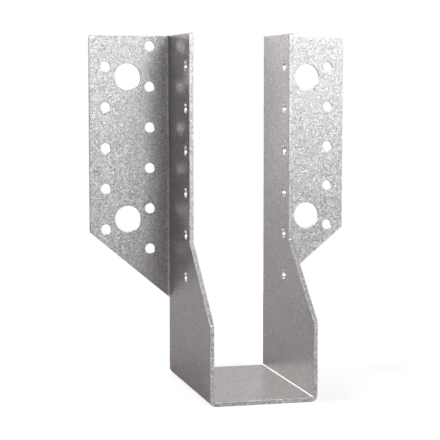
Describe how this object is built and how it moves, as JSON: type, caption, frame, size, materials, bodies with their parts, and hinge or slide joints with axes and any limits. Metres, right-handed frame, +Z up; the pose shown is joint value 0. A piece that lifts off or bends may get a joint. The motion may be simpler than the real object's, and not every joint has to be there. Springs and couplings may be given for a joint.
{
  "type": "u bracket",
  "caption": "Folded sheet-steel U bracket with outward flanges: it cradles the end of a timber joist and is nailed or bolted to the face of a header.",
  "frame": {"origin": "middle of the footprint, on the underside of the seat", "axes": "+X across the joist, +Y along the joist towards the header, +Z up; the flanges' backs lie in the plane Y = 43 mm"},
  "size_m": [0.13, 0.086, 0.168],
  "materials": {
    "galvanised_sheet": "hot-dip galvanised, fine spangle, satin"
  },
  "bodies": {
    "root": {"u_bracket": "galvanised_sheet"}
  },
  "joints": []
}
